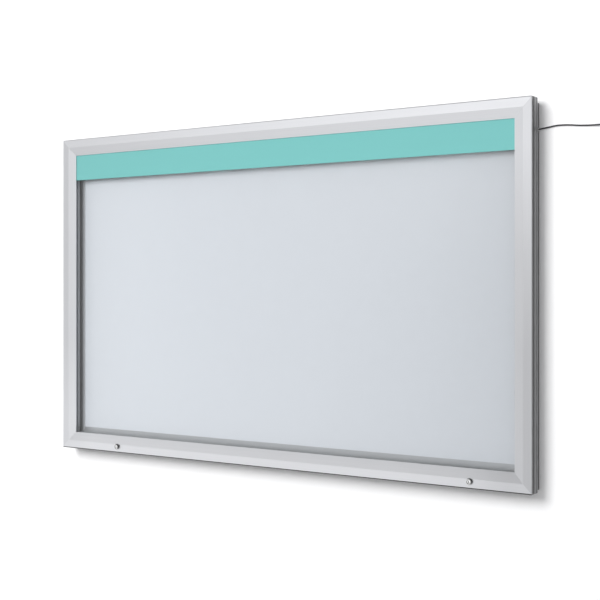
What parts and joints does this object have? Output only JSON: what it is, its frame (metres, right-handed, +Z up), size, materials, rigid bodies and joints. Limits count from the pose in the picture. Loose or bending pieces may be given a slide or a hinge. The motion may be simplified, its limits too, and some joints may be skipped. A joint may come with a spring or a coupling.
{
  "type": "illuminated notice case",
  "caption": "Shallow wall-hung notice case with a top-hung glazed door in a bevelled aluminium frame, cam locks, sliding stays, a coloured header panel and an LED bar.",
  "frame": {"origin": "centre of the four wall fixing holes, on the wall plane", "axes": "+X to the right seen from the front, +Y into the wall, +Z up; the door faces -Y"},
  "size_m": [2.0415, 0.067, 1.1],
  "materials": {
    "anodised_aluminium": "satin anodised",
    "white_enamel": "satin white enamel",
    "batten": "matt foamed board",
    "zinc_steel": "bright zinc",
    "dark_steel": "satin black",
    "bright_steel": "polished",
    "light_caps": "satin grey",
    "light_board": "matt white",
    "light_chip": "gloss",
    "light_diffuser": "opal",
    "lead_sheath": "satin dark grey",
    "black_plastic": "satin",
    "seal_rubber": "matt",
    "clear_glass": "polished",
    "header_teal": "satin paint",
    "bead_aluminium": "satin anodised",
    "corner_casting": "cast"
  },
  "bodies": {
    "case": {"case_top_rail": "anodised_aluminium", "case_bottom_rail": "anodised_aluminium", "case_left_stile": "anodised_aluminium", "case_right_stile": "anodised_aluminium", "case_corner_plates": "zinc_steel", "back_panel": "white_enamel", "panel_battens": "batten", "hinge_case_leaves": "zinc_steel", "hinge_pins": "zinc_steel", "stay_tracks": "zinc_steel", "lock_strikes": "zinc_steel", "case_screws": "zinc_steel", "led_channel": "anodised_aluminium", "led_end_caps": "light_caps", "led_board": "light_board", "led_chips": "light_chip", "led_diffuser": "light_diffuser", "led_screws": "zinc_steel", "inner_lead": "lead_sheath", "lead_grommet": "seal_rubber", "lead_clamp": "black_plastic", "cord_lead_in": "lead_sheath", "cord_coil": "lead_sheath", "cord_tail": "lead_sheath", "cord_tie": "black_plastic", "cord_connector": "black_plastic", "cord_barrel": "bright_steel"},
    "door": {"door_top_rail": "anodised_aluminium", "door_bottom_rail": "anodised_aluminium", "door_left_stile": "anodised_aluminium", "door_right_stile": "anodised_aluminium", "door_corner_keys": "corner_casting", "glass_pane": "clear_glass", "front_glazing_seals": "seal_rubber", "rear_glazing_seals": "seal_rubber", "glazing_beads": "bead_aluminium", "setting_blocks": "seal_rubber", "header_panel": "header_teal", "door_seals": "seal_rubber", "hinge_door_leaves": "zinc_steel", "stay_lugs": "zinc_steel", "stay_pivots": "zinc_steel", "door_screws": "zinc_steel", "lock_housings": "bright_steel", "lock_nuts": "zinc_steel"},
    "lock_left": {"lock_plug_left": "bright_steel", "lock_cam_left": "zinc_steel", "lock_bolt_left": "zinc_steel"},
    "stay_left": {"stay_arm_left": "zinc_steel", "stay_runner_left": "dark_steel"},
    "lock_right": {"lock_plug_right": "bright_steel", "lock_cam_right": "zinc_steel", "lock_bolt_right": "zinc_steel"},
    "stay_right": {"stay_arm_right": "zinc_steel", "stay_runner_right": "dark_steel"}
  },
  "joints": [
    {"name": "door_hinge", "type": "hinge", "parent": "case", "child": "door", "pos_m": [0, -0.018, 0.543], "axis": [-1, 0, 0], "range_deg": [0, 80]},
    {"name": "lock_left_turn", "type": "hinge", "parent": "door", "child": "lock_left", "pos_m": [-0.642, -0.06, -0.5295], "axis": [0, -1, 0], "range_deg": [0, 90]},
    {"name": "stay_left_turn", "type": "hinge", "parent": "door", "child": "stay_left", "pos_m": [-0.88, -0.018, 0.243], "axis": [1, 0, 0], "range_deg": [0, 160]},
    {"name": "lock_right_turn", "type": "hinge", "parent": "door", "child": "lock_right", "pos_m": [0.713, -0.06, -0.5295], "axis": [0, 1, 0], "range_deg": [0, 90]},
    {"name": "stay_right_turn", "type": "hinge", "parent": "door", "child": "stay_right", "pos_m": [0.88, -0.018, 0.243], "axis": [1, 0, 0], "range_deg": [0, 160]}
  ],
  "couplings": [
    {"joint": "stay_left_turn", "follows": "door_hinge", "ratio": 2},
    {"joint": "stay_right_turn", "follows": "door_hinge", "ratio": 2}
  ]
}
